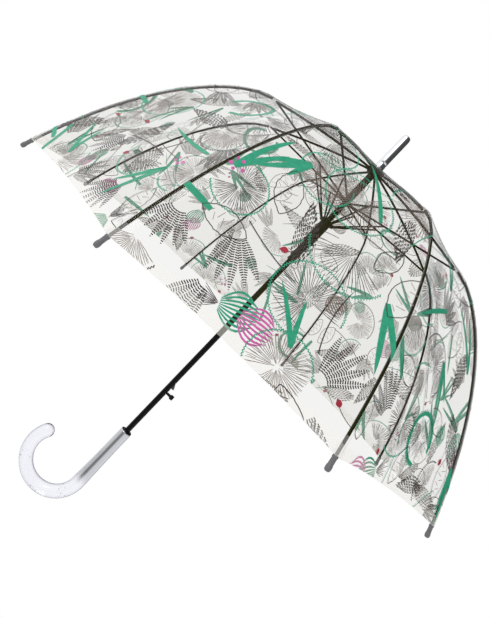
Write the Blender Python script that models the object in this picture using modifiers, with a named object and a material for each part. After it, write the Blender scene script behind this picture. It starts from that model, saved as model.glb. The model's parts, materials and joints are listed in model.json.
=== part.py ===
"""Clear bubble umbrella, shown open, as an assembly of separate pieces.

Metres, +Z up along the shaft. The origin is in the middle of the hand grip. The row frame puts the
J handle's mouth towards -X and the release button on +X. Eight ribs stand at 22.5 degrees plus
multiples of 45 degrees. The shaft, crown and handle are fixed. A runner and a spring-loaded lower
runner slide on the shaft and fold the ribs through stretchers and struts.
"""
import math

import bmesh
import bpy
from mathutils import Matrix, Vector

# ---- driving dimensions ------------------------------------------------------------------------
RIBS = 8
FIRST_RIB = math.radians(22.5)
HUB_Z = 0.648            # crown level above the middle of the grip
GAP = 0.0003             # clearance between pieces that touch

CANOPY_R = 0.420         # rib tips, from the shaft's axis
TIP_DROP = 0.3625        # rib tips, below the crown
ELBOW_R = 0.202          # stretcher joint on the rib
ELBOW_DROP = 0.0493
RIB_ROOT_R = 0.012       # rib hinges in the crown
RIB_ROOT_DROP = 0.004
UPPER_BOW = 0.0038       # how far the upper rib bows out of a straight line
LOWER_BOW = 0.0398       # the same for the lower rib, under the canopy's tension
CAP_LENGTH = 0.019       # cap over each rib's lower end
BOW_SKEW = 0.752         # below 1, the bow peaks nearer the elbow

RIB_RADIUS = 0.0020
STRETCHER_RADIUS = 0.0016
STRUT_RADIUS = 0.0015
STRETCHER_SIDE = 0.0042  # sideways offset of each stretcher from its rib's plane
END_CLEAR = 0.0036       # a rod ends this far from a joint's axis

RUNNER_DROP = 0.0705     # stretcher hinges below the crown
RUNNER_HINGE_R = 0.008
COLLAR_DROP = 0.1175     # strut hinges below the crown
COLLAR_HINGE_R = 0.0125
STRUT_REACH = 0.070      # from the runner hinge out along the stretcher

SHAFT_OUT = 0.00475
SHAFT_BORE = 0.0039
SLIDE_BORE = 0.0052      # bore of all that slides on the shaft
FIXED_BORE = 0.00505     # bore of all that is fixed on the shaft
SHAFT_TOP = 0.012        # above the crown
SHAFT_END = 0.693        # below the crown

FILM = 0.0008            # canopy film, thicker than the real film
FILM_LIFT = 0.0045       # the film's middle, outside the rib's middle
FILM_HEM = 0.0195        # the hem stops this far along the rib from its tip
SEAM_GAP = 0.0004        # half the gap between neighbouring gores

LATCH_DROP = 0.4878
BUTTON_DROP = 0.5033
HANDLE_TOP = 0.5925
GRIP_TOP = 0.5950
GRIP_END = 0.703
HOOK_START = 0.710
HOOK_R = 0.051
HOOK_TUBE = 0.0115
HOOK_SWEEP = math.radians(209)

# name: (colour, roughness, metallic)
FINISH = {
    "black_steel": ((0.012, 0.012, 0.013), 0.35, 0.6),
    "black_plastic": ((0.015, 0.015, 0.016), 0.45, 0.0),
    "grey_plastic": ((0.10, 0.10, 0.105), 0.4, 0.0),
    "chrome": ((0.82, 0.83, 0.85), 0.12, 1.0),
    "silver": ((0.62, 0.63, 0.66), 0.22, 1.0),
    "spring_steel": ((0.10, 0.10, 0.105), 0.35, 0.9),
    "clear_film": ((0.86, 0.88, 0.86), 0.15, 0.0),
    "clear_acrylic": ((0.88, 0.88, 0.93), 0.06, 0.0),
}


# ---- helpers -----------------------------------------------------------------------------------
def new_scene():
    """Empty the scene and make one collection for the object and one for the cutters."""
    for old in list(bpy.data.objects):
        bpy.data.objects.remove(old)
    made = []
    for name in ("bubble_umbrella", "cutters"):
        collection = bpy.data.collections.new(name)
        bpy.context.scene.collection.children.link(collection)
        made.append(collection)
    return made


PARTS, CUTTERS = new_scene()


def material(node, finish):
    """A material for one node, from its finish."""
    colour, roughness, metallic = FINISH[finish]
    made = bpy.data.materials.new(f"{node}_{finish}")
    made.use_nodes = True
    shader = made.node_tree.nodes["Principled BSDF"]
    shader.inputs["Base Color"].default_value = (*colour, 1.0)
    shader.inputs["Roughness"].default_value = roughness
    shader.inputs["Metallic"].default_value = metallic
    return made


def place(name, data, finish, origin=(0, 0, 0), turn=0.0):
    """Link one object, with its own material, at its place."""
    piece = bpy.data.objects.new(name, data)
    PARTS.objects.link(piece)
    if not data.materials:
        data.materials.append(None)
    piece.material_slots[0].link = "OBJECT"
    piece.material_slots[0].material = material(name, finish)
    piece.matrix_world = Matrix.Rotation(turn, 4, "Z") @ Matrix.Translation(Vector(origin))
    return piece


def level(drop):
    """Height in the part's frame of a level that far below the crown."""
    return HUB_Z - drop


def turned(name, profile, finish, closed=False, origin=(0, 0, 0), steps=24):
    """A turned piece. The profile is (radius, height), top to bottom on its outer side."""
    data = bpy.data.meshes.new(name)
    points = [(r, 0, z - origin[2]) for r, z in profile]
    edges = [(i, i + 1) for i in range(len(points) - 1)]
    if closed:
        edges.append((len(points) - 1, 0))
    data.from_pydata(points, edges, [])
    piece = place(name, data, finish, origin)
    screw = piece.modifiers.new("turn", "SCREW")
    screw.axis = "Z"
    screw.steps = steps
    screw.render_steps = steps
    screw.use_merge_vertices = True
    screw.merge_threshold = 0.00001
    return piece


def rod_data(name, points, radius, sides=2, radii=None):
    """A round rod along the points, with filled ends."""
    data = bpy.data.curves.new(name, "CURVE")
    data.dimensions = "3D"
    data.bevel_depth = radius
    data.bevel_resolution = sides
    data.use_fill_caps = True
    spline = data.splines.new("POLY")
    spline.points.add(len(points) - 1)
    for i, point in enumerate(points):
        spline.points[i].co = (*point, 1.0)
        spline.points[i].radius = radii[i] if radii else 1.0
    return data


def box_cutter(name, boxes):
    """One hidden cutter made of boxes. Each box is (centre, size, turn about Z)."""
    mesh = bmesh.new()
    for centre, size, turn in boxes:
        made = bmesh.ops.create_cube(mesh, size=1.0)
        bmesh.ops.scale(mesh, vec=size, verts=made["verts"])
        bmesh.ops.translate(mesh, vec=centre, verts=made["verts"])
        bmesh.ops.rotate(mesh, cent=(0, 0, 0), matrix=Matrix.Rotation(turn, 3, "Z"), verts=made["verts"])
    data = bpy.data.meshes.new(name)
    mesh.to_mesh(data)
    mesh.free()
    cutter = bpy.data.objects.new(name, data)
    CUTTERS.objects.link(cutter)
    cutter.hide_render = True
    cutter.display_type = "WIRE"
    return cutter


def cut(piece, cutter):
    """Cut one piece with a cutter, both in the part's frame."""
    cutter.location = (0, 0, 0)
    boolean = piece.modifiers.new("cut_" + cutter.name, "BOOLEAN")
    boolean.operation = "DIFFERENCE"
    boolean.object = cutter


def rib_turns():
    """Name suffix and azimuth of each rib."""
    return [(i + 1, FIRST_RIB + i * math.tau / RIBS) for i in range(RIBS)]


def notches(name, inner, outer, low, high, width, side=0.0):
    """A cutter of eight notches, one at each rib, from one radius out to another."""
    centre = ((inner + outer) / 2, side, (low + high) / 2)
    size = (outer - inner, width, high - low)
    return box_cutter(name, [(centre, size, turn) for _, turn in rib_turns()])


# ---- the rib's line ----------------------------------------------------------------------------
ROOT = Vector((RIB_ROOT_R, -RIB_ROOT_DROP))
ELBOW = Vector((ELBOW_R, -ELBOW_DROP))
TIP = Vector((CANOPY_R, -TIP_DROP))
RUNNER_HINGE = Vector((RUNNER_HINGE_R, -RUNNER_DROP))
COLLAR_HINGE = Vector((COLLAR_HINGE_R, -COLLAR_DROP))


def bowed(start, end, bow, skew, share):
    """A point on a bowed line in the rib's plane, (radius, height below the crown)."""
    along = end - start
    outward = Vector((-along.y, along.x)).normalized()
    lifted = share ** skew
    return start + share * along + 4 * lifted * (1 - lifted) * bow * outward


def upper_line(share):
    return bowed(ROOT, ELBOW, UPPER_BOW, 1.0, share)


def lower_line(share):
    return bowed(ELBOW, TIP, LOWER_BOW, BOW_SKEW, share)


def upper_slope(share):
    step = 0.01
    return (upper_line(min(1, share + step)) - upper_line(max(0, share - step))).normalized()


def lower_slope(share):
    step = 0.01
    return (lower_line(min(1, share + step)) - lower_line(max(0, share - step))).normalized()


def in_plane(point, pivot, side=0.0):
    """A rib-plane point as a local 3-D point about its pivot."""
    return Vector((point.x - pivot.x, side, point.y - pivot.y))


def local_origin(pivot, side=0.0):
    return (pivot.x, side, HUB_Z + pivot.y)


# ---- fixed pieces ------------------------------------------------------------------------------
def shaft():
    """The steel tube, slotted for the catch and the button."""
    top, end = HUB_Z + SHAFT_TOP, level(SHAFT_END)
    profile = [(SHAFT_OUT, top), (SHAFT_OUT, end), (SHAFT_BORE, end), (SHAFT_BORE, top)]
    tube = turned("shaft_tube", profile, "black_steel", closed=True)
    slots = [
        ((SHAFT_OUT, 0, level(LATCH_DROP)), (0.004, 0.0030, 0.0130), 0),
        ((SHAFT_OUT, 0, level(BUTTON_DROP)), (0.004, 0.0052, 0.0062), 0),
    ]
    cut(tube, box_cutter("shaft_slots", slots))


def ferrule():
    """The chrome tip over the shaft's upper end, wider at its foot, with a flat end."""
    low = HUB_Z + 0.0045
    top = HUB_Z + 0.0774
    socket = HUB_Z + SHAFT_TOP + GAP
    profile = [
        (0, top), (0.0050, top), (0.0062, top - 0.0010), (0.0070, top - 0.0040),
        (0.0072, top - 0.0100), (0.0074, low + 0.0200), (0.0077, low + 0.0140),
        (0.0079, low + 0.0030), (0.0075, low), (FIXED_BORE, low), (FIXED_BORE, socket), (0, socket),
    ]
    turned("ferrule", profile, "chrome")


def canopy_cap():
    """The washer that clamps the film's centre under the ferrule."""
    low, high = HUB_Z + 0.0022, HUB_Z + 0.0042
    profile = [
        (FIXED_BORE, high), (0.0110, high), (0.0155, high - 0.0010), (0.0160, low), (FIXED_BORE, low),
    ]
    turned("canopy_cap", profile, "black_plastic", closed=True)


def crown():
    """The notched crown that holds the rib hinges."""
    high, under, low = HUB_Z - 0.0006, HUB_Z - 0.0016, HUB_Z - 0.0088
    profile = [
        (0.0090, high), (0.0135, under), (0.0135, HUB_Z - 0.0074), (0.0090, low),
        (FIXED_BORE, low), (FIXED_BORE, high),
    ]
    body = turned("crown", profile, "black_plastic", closed=True, steps=32)
    cut(body, notches("crown_notches", 0.0092, 0.0180, low - 0.001, HUB_Z + 0.001, 0.0047))


def handle():
    """Collar, grip sleeve and the clear hook."""
    top, under = level(HANDLE_TOP), level(GRIP_TOP) + GAP
    collar = [
        (0.0068, top), (0.0074, top - 0.0010), (0.0095, top - 0.0013), (0.0098, under),
        (FIXED_BORE, under), (FIXED_BORE, top),
    ]
    turned("handle_collar", collar, "black_plastic", closed=True)
    head, foot, blind = level(GRIP_TOP), level(GRIP_END), level(SHAFT_END) - GAP
    sleeve = [
        (0, blind), (FIXED_BORE, blind), (FIXED_BORE, head), (0.0099, head),
        (0.0099, head - 0.060), (0.0104, foot + 0.015), (HOOK_TUBE, foot), (0, foot),
    ]
    turned("handle_sleeve", sleeve, "silver")
    start, steps, taper = level(HOOK_START), 30, 5
    points = [Vector((0, 0, foot - GAP)), Vector((0, 0, start))]
    radii = [1.0, 1.0]
    for i in range(1, steps + 1):
        angle = HOOK_SWEEP * i / steps
        points.append(Vector((-HOOK_R + HOOK_R * math.cos(angle), 0, start - HOOK_R * math.sin(angle))))
        radii.append(1.0)
    ahead = (points[-1] - points[-2]).normalized()
    for i in range(1, taper + 1):
        turn = math.radians(84) * i / taper
        points.append(points[steps + 1] + ahead * HOOK_TUBE * math.sin(turn))
        radii.append(math.cos(turn))
    hook = rod_data("handle_hook", points, HOOK_TUBE, sides=4, radii=radii)
    place("handle_hook", hook, "clear_acrylic")


# ---- latch and button --------------------------------------------------------------------------
def prism(name, outline, thickness, finish, origin):
    """A flat piece in the XZ plane, from its outline (x, z) about the origin."""
    data = bpy.data.curves.new(name, "CURVE")
    data.dimensions = "2D"
    data.fill_mode = "BOTH"
    data.extrude = thickness / 2
    spline = data.splines.new("POLY")
    spline.points.add(len(outline) - 1)
    for i, (x, z) in enumerate(outline):
        spline.points[i].co = (x, z, 0, 1)
    spline.use_cyclic_u = True
    piece = place(name, data, finish)
    piece.matrix_world = Matrix.Translation(Vector(origin)) @ Matrix.Rotation(math.pi / 2, 4, "X")
    return piece


def latch():
    """The wedge that holds the lower runner down, with its leg behind the button."""
    origin = (0, 0, level(LATCH_DROP))
    leg_end = LATCH_DROP - BUTTON_DROP - 0.0040
    outline = [
        (0.0010, 0.0050), (0.0048, 0.0050), (0.0090, -0.0030), (0.0090, -0.0050),
        (0.0020, -0.0050), (0.0020, leg_end), (0.0010, leg_end),
    ]
    prism("latch_catch", outline, 0.0022, "spring_steel", origin)


def button():
    """The release button: a stem through the shaft's wall and a wider head."""
    height = level(BUTTON_DROP)
    profile = [
        (0, 0.0185), (0.0036, 0.0185), (0.0041, 0.0178), (0.0041, 0.0130), (0.0036, 0.0122),
        (0.0024, 0.0120), (0.0022, 0.0024), (0, 0.0024),
    ]
    piece = turned("release_button", profile, "black_plastic", steps=20)
    piece.matrix_world = Matrix.Translation((0, 0, height)) @ Matrix.Rotation(math.pi / 2, 4, "Y")


# ---- sliding pieces ----------------------------------------------------------------------------
def runner():
    """The upper runner: a long neck with a notched flange for the stretchers."""
    top, high, low = level(0.0100), level(RUNNER_DROP - 0.0028), level(RUNNER_DROP + 0.0028)
    profile = [
        (0.0058, top), (0.0063, top - 0.0010), (0.0063, high + 0.0004), (0.0098, high),
        (0.0102, low + 0.0006), (0.0096, low), (SLIDE_BORE, low), (SLIDE_BORE, top),
    ]
    origin = (0, 0, level(RUNNER_DROP))
    body = turned("runner", profile, "black_plastic", closed=True, steps=32, origin=origin)
    slots = notches("runner_notches", 0.0060, 0.0150, low - 0.001, high + 0.0006, 0.0038, STRETCHER_SIDE)
    cut(body, slots)


def lower_runner():
    """The lower runner: notched collar, barrel with a lip, and a sleeve with the catch's slot."""
    high, low = level(COLLAR_DROP - 0.0028), level(COLLAR_DROP + 0.0028)
    lip, barrel_end, end = high - 0.0438, high - 0.0478, high - 0.0898
    profile = [
        (0.0092, high), (0.0136, high - 0.0006), (0.0138, low + 0.0006), (0.0092, low),
        (0.0090, lip), (0.0104, lip - 0.0008), (0.0104, barrel_end), (0.0069, barrel_end - 0.0014),
        (0.0066, end), (SLIDE_BORE, end), (SLIDE_BORE, high),
    ]
    body = turned(
        "lower_runner", profile, "black_plastic", closed=True, steps=32, origin=(0, 0, level(COLLAR_DROP)))
    cut(body, notches("collar_notches", 0.0104, 0.0180, low - 0.001, high + 0.001, 0.0037))
    slot_top = high - 0.0753
    centre = (0.0065, 0, (slot_top + end - 0.001) / 2)
    cut(body, box_cutter("sleeve_slot", [(centre, (0.006, 0.0036, slot_top - end + 0.001), 0)]))


def spring():
    """The opening spring, held between the two runners."""
    wire, radius, turns, per_turn = 0.00055, 0.0068, 6, 12
    high = level(RUNNER_DROP + 0.0028) - GAP - wire
    low = level(COLLAR_DROP - 0.0028) + GAP + wire
    points = []
    for i in range(turns * per_turn + 1):
        angle = math.tau * i / per_turn
        height = high + (low - high) * i / (turns * per_turn)
        points.append((radius * math.cos(angle), radius * math.sin(angle), height - high))
    place("opening_spring", rod_data("opening_spring", points, wire, sides=1), "spring_steel", (0, 0, high))


# ---- ribs, stretchers and struts ---------------------------------------------------------------
def upper_ribs():
    count, length = 6, (ELBOW - ROOT).length
    last = 1 - END_CLEAR / length
    shares = [0.002 + (last - 0.002) * i / count for i in range(count + 1)]
    points = [in_plane(upper_line(share), ROOT) for share in shares]
    data = rod_data("rib_upper", points, RIB_RADIUS)
    for number, turn in rib_turns():
        place(f"rib_upper_{number}", data, "black_steel", local_origin(ROOT), turn)


def lower_ribs():
    count, length = 16, (TIP - ELBOW).length
    first, last = END_CLEAR / length, 1 - CAP_LENGTH / length
    shares = [first + (last - first) * i / count for i in range(count + 1)]
    points = [in_plane(lower_line(share), ELBOW) for share in shares]
    data = rod_data("rib_lower", points, RIB_RADIUS)
    for number, turn in rib_turns():
        place(f"rib_lower_{number}", data, "black_steel", local_origin(ELBOW), turn)


def tip_caps():
    """Bullet caps past the ribs' lower ends. Their own +Z runs back along the rib."""
    along = lower_slope(1.0)
    back = math.atan2(-along.x, -along.y)
    profile = [
        (0, CAP_LENGTH - GAP), (0.0030, CAP_LENGTH - GAP), (0.0036, CAP_LENGTH - 0.0025),
        (0.0036, 0.0055), (0.0030, 0.0022), (0.0016, 0.0004), (0, 0),
    ]
    for number, turn in rib_turns():
        piece = turned(f"tip_cap_{number}", profile, "grey_plastic", steps=16)
        piece.matrix_world = (
            Matrix.Rotation(turn, 4, "Z") @ Matrix.Translation(Vector(local_origin(TIP)))
            @ Matrix.Rotation(back, 4, "Y"))


def stretchers():
    start = RUNNER_HINGE + (ELBOW - RUNNER_HINGE).normalized() * 0.0006
    points = [in_plane(start, RUNNER_HINGE), in_plane(ELBOW, RUNNER_HINGE)]
    data = rod_data("stretcher", points, STRETCHER_RADIUS)
    for number, turn in rib_turns():
        origin = local_origin(RUNNER_HINGE, STRETCHER_SIDE)
        place(f"stretcher_{number}", data, "black_steel", origin, turn)


def struts():
    along = (ELBOW - RUNNER_HINGE).normalized()
    meet = RUNNER_HINGE + along * STRUT_REACH
    points = [in_plane(COLLAR_HINGE, COLLAR_HINGE), in_plane(meet, COLLAR_HINGE)]
    data = rod_data("strut", points, STRUT_RADIUS)
    for number, turn in rib_turns():
        place(f"strut_{number}", data, "black_steel", local_origin(COLLAR_HINGE), turn)


# ---- canopy ------------------------------------------------------------------------------------
def film_line(share):
    """The film's middle line over a rib: 0 at the crown, 1 at the hem."""
    upper_length = (ELBOW - ROOT).length
    lower_length = (TIP - ELBOW).length - FILM_HEM
    distance = share * (upper_length + lower_length)
    if distance < upper_length:
        part = distance / upper_length
        point, slope = upper_line(part), upper_slope(part)
    else:
        part = (distance - upper_length) / (TIP - ELBOW).length
        point, slope = lower_line(part), lower_slope(part)
    return point + Vector((-slope.y, slope.x)) * FILM_LIFT


def gores():
    """Eight film gores, each stretched flat across from rib to rib."""
    rows, columns = 26, 6
    mesh = bmesh.new()
    bmesh.ops.create_grid(mesh, x_segments=rows, y_segments=columns, size=1.0)
    half = math.pi / RIBS
    for vertex in mesh.verts:
        share = (vertex.co.x + 1) / 2
        across = vertex.co.y
        line = film_line(share)
        depth = line.x * math.cos(half)
        width = line.x * math.sin(half) - SEAM_GAP
        vertex.co = (depth, across * width, line.y)
    bmesh.ops.recalc_face_normals(mesh, faces=mesh.faces)
    data = bpy.data.meshes.new("gore")
    mesh.to_mesh(data)
    mesh.free()
    for number, turn in rib_turns():
        piece = place(f"canopy_gore_{number}", data, "clear_film", (0, 0, HUB_Z), turn + half)
        shell = piece.modifiers.new("film", "SOLIDIFY")
        shell.thickness = FILM
        shell.offset = 0


def build():
    shaft()
    ferrule()
    canopy_cap()
    crown()
    handle()
    latch()
    button()
    runner()
    lower_runner()
    spring()
    upper_ribs()
    lower_ribs()
    tip_caps()
    stretchers()
    struts()
    gores()


build()
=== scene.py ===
"""Clear bubble umbrella: the looks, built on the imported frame.

The film, its print, hem, seams and tip pockets, the ferrule, the tip caps and the handle's skins are made
here. Everything sits in the frame's own coordinates: +Z up the shaft, metres, the origin in the middle
of the grip.
"""
import json
import math
import random

import bmesh
import bpy
import numpy as np
from mathutils import Matrix, Vector

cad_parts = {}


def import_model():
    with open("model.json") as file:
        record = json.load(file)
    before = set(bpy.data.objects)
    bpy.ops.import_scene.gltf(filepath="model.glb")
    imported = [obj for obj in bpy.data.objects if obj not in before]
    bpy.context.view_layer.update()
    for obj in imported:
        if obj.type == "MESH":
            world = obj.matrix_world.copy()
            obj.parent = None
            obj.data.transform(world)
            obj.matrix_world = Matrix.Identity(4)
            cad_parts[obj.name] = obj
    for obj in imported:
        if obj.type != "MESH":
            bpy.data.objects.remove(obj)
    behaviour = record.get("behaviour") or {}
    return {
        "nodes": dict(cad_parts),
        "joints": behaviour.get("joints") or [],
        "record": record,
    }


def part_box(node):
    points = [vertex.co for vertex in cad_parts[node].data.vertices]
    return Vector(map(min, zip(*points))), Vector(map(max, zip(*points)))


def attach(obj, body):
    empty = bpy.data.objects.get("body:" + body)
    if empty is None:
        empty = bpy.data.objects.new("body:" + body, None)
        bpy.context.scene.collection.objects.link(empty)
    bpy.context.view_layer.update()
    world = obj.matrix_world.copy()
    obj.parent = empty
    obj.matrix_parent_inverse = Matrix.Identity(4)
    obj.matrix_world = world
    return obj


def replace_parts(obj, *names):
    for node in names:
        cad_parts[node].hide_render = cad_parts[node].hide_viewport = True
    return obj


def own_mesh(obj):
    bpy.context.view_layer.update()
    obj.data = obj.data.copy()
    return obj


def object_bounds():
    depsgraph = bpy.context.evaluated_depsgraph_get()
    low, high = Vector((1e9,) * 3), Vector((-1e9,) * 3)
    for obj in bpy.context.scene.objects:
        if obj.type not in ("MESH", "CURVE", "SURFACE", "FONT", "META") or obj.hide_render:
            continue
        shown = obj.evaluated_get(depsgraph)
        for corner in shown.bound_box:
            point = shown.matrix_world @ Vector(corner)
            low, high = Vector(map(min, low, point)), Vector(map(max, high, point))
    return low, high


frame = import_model()
cad_low, cad_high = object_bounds()

# ---- sizes -------------------------------------------------------------------------------------
RIBS = 8
HALF_GORE = math.pi / RIBS
FIRST_RIB = math.radians(22.5)      # azimuth of rib 1
UPPER_BOW = 0.0038          # the ribs' bows, as the frame has them
LOWER_BOW = 0.0398
BOW_SKEW = 0.752
FILM_LIFT = 0.0030          # the film lies this far outside the ribs' middle line
CAP_LENGTH = 0.019
HEM_BAND = 0.014
HEM_RISE = 0.006            # the hem's pull upward between two tips
FILM_SAG = 0.0045           # the film's pull inward between two ribs
CROWN_T = 0.002             # lengths from the crown: where the film starts,
PRINT_T = 0.016             # where its print starts,
SEAM_T = 0.03               # and where its seams start
INK_LIFT = 0.00022          # the first layer of ink stands this far off the film,
LAYER_LIFT = 0.000012       # and each later one this much further
SEAM_GAP = 0.0006           # print stops this far from a gore's edge
SEAM_EDGES = (              # a seam's raised edges: near and far from the rib, and lift
    (0.0036, 0.0041, 0.0003), (0.0041, 0.0044, 0.0004))
POCKET_LENGTH = 0.024
POCKET_REACH = (0.0035, 0.0100)     # a pocket's half width at its top and at the hem
PAST_SEAM = 0.010           # a motif's middle may lie this far past a seam,
PAST_HEM = 0.024            # and this far past the hem, where it is cut off,
CLEAR_OF_CROWN = 0.02       # and keeps this far from the crown
TRIES = 60                  # places tried for a motif
OVERLAP = 0.002             # motifs may overlap by this much,
KEPT_ROOM = 0.8             # and a drawn motif keeps this share of its room
SILVER_ENDS = (0.712, 0.686)        # depths below the crown's top between which silver turns clear
HOOK_SIDE_X = -0.035        # left of this, all of the J is clear
BUBBLES = ((0.62, 9), (2.62, 8), (1.5, 4))      # turn along the J, and how many round it
LENS = 34.520388            # the camera's lens in millimetres

# ---- the rib's line, from the frame's joints ----------------------------------------------------
JOINTS = {joint["name"]: joint for joint in frame["joints"]}


def in_plane(point):
    """(radius, height) of a point in the frame."""
    return np.array([math.hypot(point[0], point[1]), point[2]])


ROOT = in_plane(JOINTS["rib_fold_1"]["pos_m"])
ELBOW = in_plane(JOINTS["elbow_fold_1"]["pos_m"])
HUB_Z = float(ROOT[1]) + 0.004      # the crown's top, above the ribs' hinges
cap_low, cap_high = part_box("tip_cap_1")
TIP = np.array([math.hypot(cap_high.x, cap_high.y) - 0.0034, cap_low.z + 0.0005])


def bowed(start, end, bow, skew, count):
    """Points along a bowed line in the rib's plane."""
    share = np.linspace(0, 1, count)[:, None]
    along = end - start
    outward = np.array([-along[1], along[0]]) / np.linalg.norm(along)
    lifted = share ** skew
    return start + share * along + 4 * lifted * (1 - lifted) * bow * outward


def film_line():
    """The film's line over a rib, from the crown to the tip, and its length along the way."""
    upper = bowed(ROOT, ELBOW, UPPER_BOW, 1.0, 60)
    lower = bowed(ELBOW, TIP, LOWER_BOW, BOW_SKEW, 120)
    line = np.concatenate([upper, lower[1:]])
    slope = np.gradient(line, axis=0)
    slope /= np.linalg.norm(slope, axis=1)[:, None]
    normal = np.stack([-slope[:, 1], slope[:, 0]], 1)
    kernel = np.ones(9) / 9
    padded = np.pad(normal, ((4, 4), (0, 0)), mode="edge")
    normal = np.stack([np.convolve(padded[:, i], kernel, "valid") for i in (0, 1)], 1)
    line = line + normal * FILM_LIFT
    steps = np.linalg.norm(np.diff(line, axis=0), axis=1)
    return line, normal, np.concatenate([[0], np.cumsum(steps)])


LINE, NORMAL, LENGTH = film_line()
TIP_T = float(LENGTH[-1])
HEM_T = TIP_T - CAP_LENGTH * 0.9
ELBOW_T = float(np.interp(ELBOW[0], LINE[:60, 0], LENGTH[:60]))


def line_at(t):
    """Radius, height and outward normal of the film over a rib at length t from the crown."""
    radius, height = (np.interp(t, LENGTH, LINE[:, i]) for i in (0, 1))
    out, up = (np.interp(t, LENGTH, NORMAL[:, i]) for i in (0, 1))
    return radius, height, out, up


def half_width(t):
    """Half the width of a gore at length t."""
    return line_at(t)[0] * math.sin(HALF_GORE)


def hem_at(w):
    """The hem's length from the crown, across a gore where w runs from -1 to 1."""
    return HEM_T - HEM_RISE * (1 - np.asarray(w) ** 2)


def gore_azimuth(gore):
    """Azimuth of a gore's middle. Gore g lies between rib g and rib g + 1."""
    return FIRST_RIB + (gore - 1) * 2 * HALF_GORE + HALF_GORE


def rib_azimuth(rib):
    """Azimuth of a rib."""
    return FIRST_RIB + (rib - 1) * 2 * HALF_GORE


def on_gore(azimuth, w, t, lift=0.0):
    """Points on a gore. w is -1 to 1 across it, t the length from the crown, lift is outward."""
    w, t = np.broadcast_arrays(np.asarray(w, float), np.asarray(t, float))
    radius, height, out, up = line_at(t)
    depth = FILM_SAG * np.sin(np.clip(t / TIP_T, 0, 1) * math.pi * 0.85) * (1 - w ** 2)
    forward = radius * math.cos(HALF_GORE) + (lift - depth) * out
    side = radius * math.sin(HALF_GORE) * w
    z = height + (lift - depth) * up
    cos, sin = math.cos(azimuth), math.sin(azimuth)
    return np.stack([forward * cos - side * sin, forward * sin + side * cos, z], -1)


# ---- materials ---------------------------------------------------------------------------------
def surface(name, colour, roughness=0.4, metallic=0.0, **more):
    """A Principled material. More holds other socket values, with _ for spaces."""
    made = bpy.data.materials.new(name)
    made.use_nodes = True
    shader = made.node_tree.nodes["Principled BSDF"]
    shader.inputs["Base Color"].default_value = (*colour, 1)
    shader.inputs["Roughness"].default_value = roughness
    shader.inputs["Metallic"].default_value = metallic
    for key, value in more.items():
        shader.inputs[key.replace("_", " ")].default_value = value
    return made


def add(made, kind, **values):
    """A new node in a material. Values are its sockets' or its own settings."""
    node = made.node_tree.nodes.new(kind)
    for key, value in values.items():
        if key in node.inputs:
            node.inputs[key].default_value = value
        else:
            setattr(node, key, value)
    return node


def noise(made, scale, detail=4.0, stretch=(1, 1, 1)):
    """Noise in the object's own coordinates."""
    place = add(made, "ShaderNodeTexCoord")
    scaled = add(made, "ShaderNodeMapping")
    scaled.inputs["Scale"].default_value = stretch
    pattern = add(made, "ShaderNodeTexNoise", Scale=scale, Detail=detail)
    made.node_tree.links.new(place.outputs["Object"], scaled.inputs["Vector"])
    made.node_tree.links.new(scaled.outputs["Vector"], pattern.inputs["Vector"])
    return pattern


def vary(made, pattern, socket, low, high, start=0.35, stop=0.65):
    """Drive a socket between two values, or two colours, with a pattern."""
    ramp = add(made, "ShaderNodeValToRGB")
    ramp.color_ramp.elements[0].position = start
    ramp.color_ramp.elements[1].position = stop
    for element, value in zip(ramp.color_ramp.elements, (low, high)):
        element.color = (*value, 1) if isinstance(value, tuple) else (value, value, value, 1)
    made.node_tree.links.new(pattern.outputs["Fac"], ramp.inputs["Fac"])
    shader = made.node_tree.nodes["Principled BSDF"]
    made.node_tree.links.new(ramp.outputs["Color"], shader.inputs[socket])


def bump(made, pattern, distance, strength=0.5):
    """Raise the surface by a pattern."""
    node = add(made, "ShaderNodeBump", Strength=strength, Distance=distance)
    shader = made.node_tree.nodes["Principled BSDF"]
    made.node_tree.links.new(pattern.outputs["Fac"], node.inputs["Height"])
    made.node_tree.links.new(node.outputs["Normal"], shader.inputs["Normal"])


def film_material():
    """Clear film: a faint warm grey colour, with slow ripples. Towards grazing it turns thicker and
    whiter, a painted sheen that stands in for the film's reflection.
    """
    made = surface("clear_film", (0.30, 0.30, 0.27), 0.10, IOR=1.5, Coat_Weight=1.0, Coat_Roughness=0.04)
    facing = add(made, "ShaderNodeLayerWeight", Blend=0.30)
    haze_and_sheen = add(made, "ShaderNodeMapRange", interpolation_type="SMOOTHSTEP")
    painted_sheen = add(made, "ShaderNodeMapRange", interpolation_type="SMOOTHSTEP")
    links, shader = made.node_tree.links, made.node_tree.nodes["Principled BSDF"]
    # Facing ramps: alpha rises from the film's faint see-through colour to a thick layer at grazing, and
    # the colour turns from warm grey to white there; that white is painted sheen.
    for node, start, stop, low, high in ((haze_and_sheen, 0.58, 1.0, 0.118, 0.68), (painted_sheen, 0.42, 0.92, 0.0, 1.0)):
        node.inputs["From Min"].default_value = start
        node.inputs["From Max"].default_value = stop
        node.inputs["To Min"].default_value = low
        node.inputs["To Max"].default_value = high
        links.new(facing.outputs["Facing"], node.inputs["Value"])
    tint_and_sheen = add(made, "ShaderNodeMix", data_type="RGBA")
    sockets = [socket for socket in tint_and_sheen.inputs if socket.type == "RGBA"]
    sockets[0].default_value = (0.140, 0.122, 0.0, 1)
    # white at grazing: painted sheen
    sockets[1].default_value = (0.95, 0.935, 0.88, 1)
    links.new(painted_sheen.outputs["Result"], tint_and_sheen.inputs[0])
    result = [socket for socket in tint_and_sheen.outputs if socket.type == "RGBA"][0]
    links.new(result, shader.inputs["Base Color"])
    links.new(haze_and_sheen.outputs["Result"], shader.inputs["Alpha"])
    bump(made, noise(made, 14, 2), 0.004, 0.3)
    return made


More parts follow.
